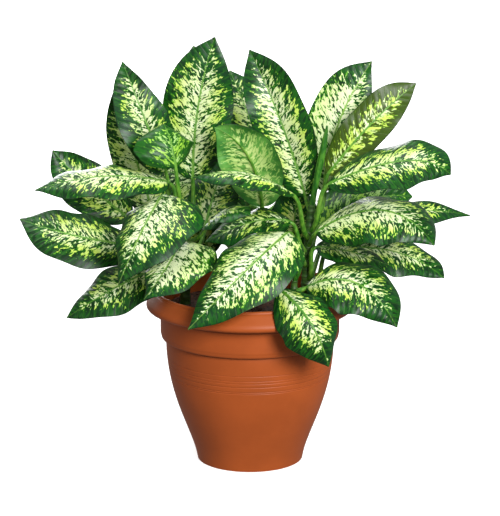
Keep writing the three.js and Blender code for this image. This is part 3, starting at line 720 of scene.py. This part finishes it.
def makeBladeTop():
    material, tree, shader = startMaterial(
        "variegatedBladeTop", leafSkin["roughness"], Specular_IOR_Level=leafSkin["gloss"])
    marks = leafPattern(tree)
    place = addNode(tree, "TexCoord").outputs["Object"]
    # deep green with cooler clouds, fresher on a young leaf and olive on the most yellow one
    cool = noise(tree, place, 26, 2)
    green = blend(tree, smooth(tree, cool, 0.4, 0.65), leafSkin["deep"], leafSkin["deepCool"])
    mottle = times(tree, smooth(tree, marks["mottle"], 0.42, 0.62), 0.6)
    green = blend(tree, mottle, green, leafSkin["fresh"])
    young = smooth(tree, marks["pale"], 0.32, 0.3)
    green = blend(tree, times(tree, young, 0.35), green, leafSkin["fresh"])
    olive = smooth(tree, marks["yellow"], 0.92, 1)
    green = blend(tree, times(tree, olive, 0.85), green, leafSkin["olive"])
    # the cream is yellower towards the margin
    warmer = minus(tree, 1.5, times(tree, marks["pale"], 1.4))
    warm = plus(tree, times(tree, smooth(tree, marks["reach"], 0.15, 0.7), warmer),
                times(tree, marks["yellow"], smooth(tree, marks["patch"], 0.35, 0.6)))
    cream = blend(tree, calc(tree, "MINIMUM", warm, 1), leafSkin["cream"], leafSkin["creamYellow"])
    cream = blend(tree, times(tree, young, 0.65), cream, leafSkin["lime"])
    # green, a fresh and a lime outline, and cream
    fresh = blend(tree, olive, leafSkin["fresh"], leafSkin["oliveFresh"])
    colour = blend(tree, smooth(tree, marks["field"], -0.17, -0.05), green, fresh)
    colour = blend(tree, smooth(tree, marks["field"], -0.05, 0.0), colour, leafSkin["lime"])
    creamLess = times(tree, smooth(tree, marks["reach"], 0.5, 1.0), 0.08)
    creamField = minus(tree, marks["field"], creamLess)
    colour = blend(tree, smooth(tree, creamField, 0.0, 0.08), colour, cream)
    colour = blend(tree, times(tree, marks["vein"], 0.12), colour, leafSkin["lime"])
    # the midrib fades towards the tip, and the margin is a thin dark line
    ribTint = blend(tree, smooth(tree, marks["yellow"], 0.25, 0.15), leafSkin["rib"], leafSkin["ribPale"])
    ribShare = times(tree, marks["rib"], minus(tree, 0.8, times(tree, marks["tipward"], 0.5)))
    colour = blend(tree, ribShare, colour, ribTint)
    rim = smooth(tree, marks["edge"], 0.01, 0.004)
    colour = blend(tree, times(tree, rim, 0.6), colour, leafSkin["deep"])
    # painted shade: a leaf deep in the plant is darkened towards deep green by its third trait
    colour = blend(tree, times(tree, marks["dark"], 0.5), colour, leafSkin["deep"])
    tree.links.new(colour, shader.inputs["Base Color"])
    height = minus(tree, times(tree, noise(tree, place, 500, 2), 0.3), marks["vein"])
    addBump(tree, shader, height, 0.35, 0.0003)
    return material


def makeBladeUnder():
    material, tree, shader = startMaterial("paleBladeUnderside", leafSkin["underRoughness"])
    marks = leafPattern(tree)
    place = addNode(tree, "TexCoord").outputs["Object"]
    cloud = noise(tree, place, 34, 3)
    colour = blend(tree, smooth(tree, cloud, 0.4, 0.6), leafSkin["underDeep"], leafSkin["under"])
    colour = blend(tree, smooth(tree, marks["field"], -0.16, 0.1), colour, leafSkin["underPale"])
    glow = times(tree, smooth(tree, marks["field"], 0.02, 0.2), smooth(tree, marks["reach"], 0.75, 0.2))
    colour = blend(tree, times(tree, glow, 0.7), colour, leafSkin["underCream"])
    veins = calc(tree, "MAXIMUM", times(tree, marks["vein"], 0.7), times(tree, marks["rib"], 0.9))
    colour = blend(tree, veins, colour, leafSkin["underVein"])
    rim = times(tree, smooth(tree, marks["edge"], 0.06, 0.01), 0.4)
    colour = blend(tree, rim, colour, leafSkin["underDeep"])
    tree.links.new(colour, shader.inputs["Base Color"])
    addBump(tree, shader, plus(tree, noise(tree, place, 420, 2), marks["vein"]), 0.35, 0.0004)
    return material


leafStalk = {
    "fresh": tint(58, 118, 26), "pale": tint(108, 160, 52), "base": tint(132, 170, 72), "roughness": 0.4,
}


def makeStalkMaterial():
    material, tree, shader = startMaterial("freshGreenStalk", leafStalk["roughness"])
    place = addNode(tree, "TexCoord").outputs["Object"]
    stretched = addNode(tree, "Mapping", {"Vector": place, "Scale": (1, 1, 0.25)}).outputs[0]
    lines = noise(tree, stretched, 340, 3, 0.6)
    cloud = noise(tree, place, 45, 2)
    colour = blend(tree, smooth(tree, lines, 0.4, 0.62), leafStalk["fresh"], leafStalk["pale"])
    clouds = times(tree, smooth(tree, cloud, 0.5, 0.7), 0.5)
    colour = blend(tree, clouds, colour, leafStalk["base"])
    tree.links.new(colour, shader.inputs["Base Color"])
    addBump(tree, shader, lines, 0.3, 0.0004)
    return material


def stalkPath(leaf):
    # the stalk leaves the side of its cane, bends up and runs into the blade
    cane = canes["places"][leaf["cane"]]
    base, control, _ = ribCurve(leaf)
    centre, _ = caneAxis(cane, leaf["at"])
    out = base[:2] - centre
    out = out / np.linalg.norm(out)
    clear = 0
    for rise in (-1.3, 1.3):
        near, girth = caneAxis(cane, leaf["at"] + rise * leafForm["rootRadius"])
        clear = max(clear, (near - centre) @ out + girth)
    root = np.append(centre + out * (clear + leafForm["gap"]), leaf["at"])
    reach = np.linalg.norm(base - root)
    rib = normalise(control - base)
    start = root + np.append(out * 0.9, 0.7) * reach / 3
    end = base - rib * reach * 0.8 / 3
    return root, start, end, np.append(out, 0)


def makeStalk(leaf):
    root, start, end, out = stalkPath(leaf)
    base, control, tip = ribCurve(leaf)
    face = np.array(leaf["face"], float)
    baseUp = frameAlong(normalise(control - base)[None], face)[0][0]
    tipUp = frameAlong(normalise(tip - control)[None], face)[0][0]
    ribEnd = tip - tipUp * leafForm["tipDrop"] - normalise(tip - control) * leafForm["ribStop"]
    # place, handle before, handle after and radius: at the cane, where the blade starts, at its tip
    knots = (
        (root - out * leafForm["rootInset"], root - out * (leafForm["rootInset"] + 0.6), start,
         leafForm["rootRadius"] * 0.95),
        (base - baseUp * leafForm["baseDrop"], end - baseUp * leafForm["baseDrop"],
         base + (control - base) * 2 / 3 - baseUp * leafForm["middleDrop"], leafForm["stalkRadius"]),
        (ribEnd, ribEnd + (control - ribEnd) * 2 / 3 - tipUp * leafForm["endDrop"],
         ribEnd + (ribEnd - control) * 0.1, leafForm["ribEndRadius"]),
    )
    clearSelection()
    bpy.ops.curve.primitive_bezier_curve_add()
    stalk = bpy.context.object
    spline = stalk.data.splines[0]
    spline.bezier_points.add(1)
    for point, (place, left, right, radius) in zip(spline.bezier_points, knots):
        point.handle_left_type = point.handle_right_type = "FREE"
        point.co, point.handle_left, point.handle_right = place * mm, left * mm, right * mm
        point.radius = radius * mm
    stalk.data.dimensions = "3D"
    stalk.data.resolution_u = 26
    stalk.data.bevel_depth = 1
    stalk.data.bevel_resolution = 3
    stalk.data.use_fill_caps = True
    bpy.ops.object.convert(target="MESH")
    stalk = bpy.context.object
    closeShell()
    return stalk


def makeLeaf(name, leaf, materials):
    bladeTop, bladeUnder, stalkGreen = materials
    x = np.linspace(0, 1, leafForm["rows"])
    t = leafForm["length"] * (0.3 * x + 0.7 * (1 - np.cos(math.pi * x)) / 2)
    u = np.linspace(-1, 1, leafForm["columns"] + 1)
    t, u = np.meshgrid(t, u, indexing="ij")
    places, along, across, margin = bladePlaces(leaf, t, u)
    blade = gridPiece(name, places)
    blade.data.uv_layers.remove(blade.data.uv_layers[0])
    addMap(blade, "bladePlace", across / 100, along / 100)
    addMap(blade, "bladeMargin", margin / 100, t)
    # the traits: pale, yellow, painted shade, and a random number
    addTraits(blade, "bladeTraits", np.broadcast_to([*leaf["skin"], random.random()], (t.size, 4)))
    blade.data.materials.append(bladeTop)
    blade.data.materials.append(bladeUnder)
    applyModifier(blade, "SOLIDIFY", thickness=leafForm["thickness"] * mm, offset=0, material_offset=1)
    stalk = makeStalk(leaf)
    stalk.data.materials.append(stalkGreen)
    joinInto(blade, stalk)
    finishPiece(blade, "leaf" + name[0].upper() + name[1:].replace("_", ""), "leaf_" + name, 60)


# rolled young leaves

rolledLeaves = {
    "turns": 1.7, "slant": 1.4, "core": 0.62, "spread": 0.36, "rows": 90, "columns": 44, "thickness": 0.45,
    "bright": tint(30, 94, 22), "pale": tint(78, 140, 40),
    "places": {
        "right": {"through": ((76, -1, 330), (82, -6, 362), (86, -10, 389)), "cane": "right",
                  "radii": (3.8, 3.2, 3.6, 4.2, 4, 2.8, 0.9)},
        "front": {"through": ((52, -54, 230), (54, -58, 238), (58, -60, 246)), "cane": "front",
                  "radii": (3.2, 3.4, 4.2, 4.6, 4, 2.6, 0.9)},
    },
}


def makeRolledMaterial():
    material, tree, shader = startMaterial("rolledLeafGreen", 0.38)
    place = addNode(tree, "TexCoord").outputs["Object"]
    stretched = addNode(tree, "Mapping", {"Vector": place, "Scale": (1, 1, 0.3)}).outputs[0]
    lines = noise(tree, stretched, 260, 3, 0.6)
    colour = blend(tree, smooth(tree, lines, 0.38, 0.64), rolledLeaves["bright"], rolledLeaves["pale"])
    tree.links.new(colour, shader.inputs["Base Color"])
    addBump(tree, shader, lines, 0.3, 0.0004)
    return material


def smoothPath(knots, s):
    # a smooth path through the knots, evenly shared out
    ends = np.vstack([2 * knots[0] - knots[1], knots, 2 * knots[-1] - knots[-2]])
    spans = len(knots) - 1
    place = np.clip(s * spans, 0, spans - 1e-9)
    index = place.astype(int)
    f = (place - index)[:, None]
    a, b, c, d = (ends[index + k] for k in range(4))
    bend, twist = 2 * a - 5 * b + 4 * c - d, 3 * b - a - 3 * c + d
    return 0.5 * (2 * b + (c - a) * f + bend * f ** 2 + twist * f ** 3)


def makeRolledLeaf(name, leaf, material):
    cane = canes["places"][leaf["cane"]]
    knots = np.array([(*cane["top"][:2], cane["top"][2] + leafForm["gap"]), *leaf["through"]], float)
    s = np.linspace(0, 1, rolledLeaves["rows"])
    centre = smoothPath(knots, s)
    direction = normalise(np.gradient(centre, axis=0))
    normal, across = frameAlong(direction, np.array((0, -1, 0.0)))
    radius = np.interp(s, np.linspace(0, 1, len(leaf["radii"])), leaf["radii"])
    turn = np.linspace(0, rolledLeaves["turns"] * math.tau, rolledLeaves["columns"])
    # the sheet winds outwards, and its free margin runs up the roll at a slant
    wind = radius[:, None] * (rolledLeaves["core"] + rolledLeaves["spread"] * (turn / turn[-1])[None, :])
    angle = turn[None, :] + s[:, None] * rolledLeaves["slant"]
    places = (centre[:, None] + normal[:, None] * (wind * np.cos(angle))[..., None]
              + across[:, None] * (wind * np.sin(angle))[..., None])
    piece = gridPiece(name, places)
    applyModifier(piece, "SOLIDIFY", thickness=rolledLeaves["thickness"] * mm, offset=0)
    closeShell()
    piece.data.materials.append(material)
    finishPiece(piece, name + "RolledLeaf", "spear_" + name, 60)


# the room: floor, light and camera

room = {
    "floorRadius": 16, "floor": tint(244, 244, 243), "floorShade": tint(238, 238, 237),
    "glowNear": 0.55, "glowFar": 0.8, "glowFrom": 0.6, "glowTo": 3.5, "sky": 0.27,
    "lights": {
        "keySoftbox": {"at": (1.1, -2.5, 1.5), "to": (0, 0, 0.25), "size": 1.2, "power": 113},
        "fillSoftbox": {"at": (-2.2, -1.9, 1.4), "to": (0, 0, 0.3), "size": 1.4, "power": 8},
        "topSoftbox": {"at": (-0.3, 0.1, 2.3), "to": (0, 0, 0.3), "size": 1.2, "power": 27},
        "backSoftbox": {"at": (-0.8, 2.8, 1.2), "to": (0, 0, 0.25), "size": 1.4, "power": 60},
    },
    "camera": {"at": (0, -2.6, 0.87), "to": (0, 0, 0.235), "lens": 164.8},
}


def aim(thing, place, target):
    thing.location = place
    back = np.array(place) - np.array(target)
    thing.rotation_euler = (
        math.atan2(math.hypot(back[0], back[1]), back[2]), 0, math.atan2(back[0], -back[1]))


def makeFloor():
    # the floor glows a little, and only the camera sees that, so that the planter keeps dark edges
    clearSelection()
    bpy.ops.mesh.primitive_circle_add(vertices=96, radius=room["floorRadius"], fill_type="NGON")
    floor = bpy.context.object
    floor.name = "paleFloor"
    material, tree, shader = startMaterial("paleFloor", 0.8)
    place = addNode(tree, "TexCoord").outputs["Object"]
    tree.links.new(blend(tree, noise(tree, place, 3, 2), room["floor"], room["floorShade"]),
                   shader.inputs["Base Color"])
    shader.inputs["Emission Color"].default_value = (1, 1, 1, 1)
    parts = addNode(tree, "SeparateXYZ", {"Vector": place}).outputs
    squares = plus(tree, calc(tree, "POWER", parts["X"], 2), calc(tree, "POWER", parts["Y"], 2))
    glow = addNode(tree, "MapRange", {
        "Value": calc(tree, "SQRT", squares), "From Min": room["glowFrom"], "From Max": room["glowTo"],
        "To Min": room["glowNear"], "To Max": room["glowFar"]})
    tree.links.new(glow.outputs[0], shader.inputs["Emission Strength"])
    floor.data.materials.append(material)
    floor.visible_diffuse = False
    floor.visible_glossy = False


def makeLights():
    world = bpy.data.worlds.new("studioWorld")
    world.use_nodes = True
    world.node_tree.nodes["Background"].inputs["Color"].default_value = (1, 1, 1, 1)
    world.node_tree.nodes["Background"].inputs["Strength"].default_value = room["sky"]
    bpy.context.scene.world = world
    for name, light in room["lights"].items():
        bpy.ops.object.light_add(type="AREA")
        lamp = bpy.context.object
        lamp.name = name
        lamp.data.shape = "SQUARE"
        lamp.data.size = light["size"]
        lamp.data.energy = light["power"]
        aim(lamp, light["at"], light["to"])


def makeCamera():
    bpy.ops.object.camera_add()
    camera = bpy.context.object
    camera.name = "photoCamera"
    camera.data.sensor_width = 36
    camera.data.lens = room["camera"]["lens"]
    camera.data.clip_start, camera.data.clip_end = 0.05, 60
    aim(camera, room["camera"]["at"], room["camera"]["to"])
    bpy.context.scene.camera = camera
    bpy.context.scene.view_settings.view_transform = "Standard"


makeFloor()
makeLights()
makeCamera()
print("room: floor, lights and camera set")
makePlanter()
makeSoil()
caneMaterial = makeCaneMaterial()
for caneName, caneValues in canes["places"].items():
    makeCane(caneName, caneValues, caneMaterial)
print("canes: made", len(canes["places"]))
leafMaterials = (makeBladeTop(), makeBladeUnder(), makeStalkMaterial())
for leafName, leafValues in leafPlaces.items():
    makeLeaf(leafName, leafValues, leafMaterials)
print("leaves: made", len(leafPlaces))
rolledMaterial = makeRolledMaterial()
for rolledName, rolledValues in rolledLeaves["places"].items():
    makeRolledLeaf(rolledName, rolledValues, rolledMaterial)
print("rolled leaves: made", len(rolledLeaves["places"]))
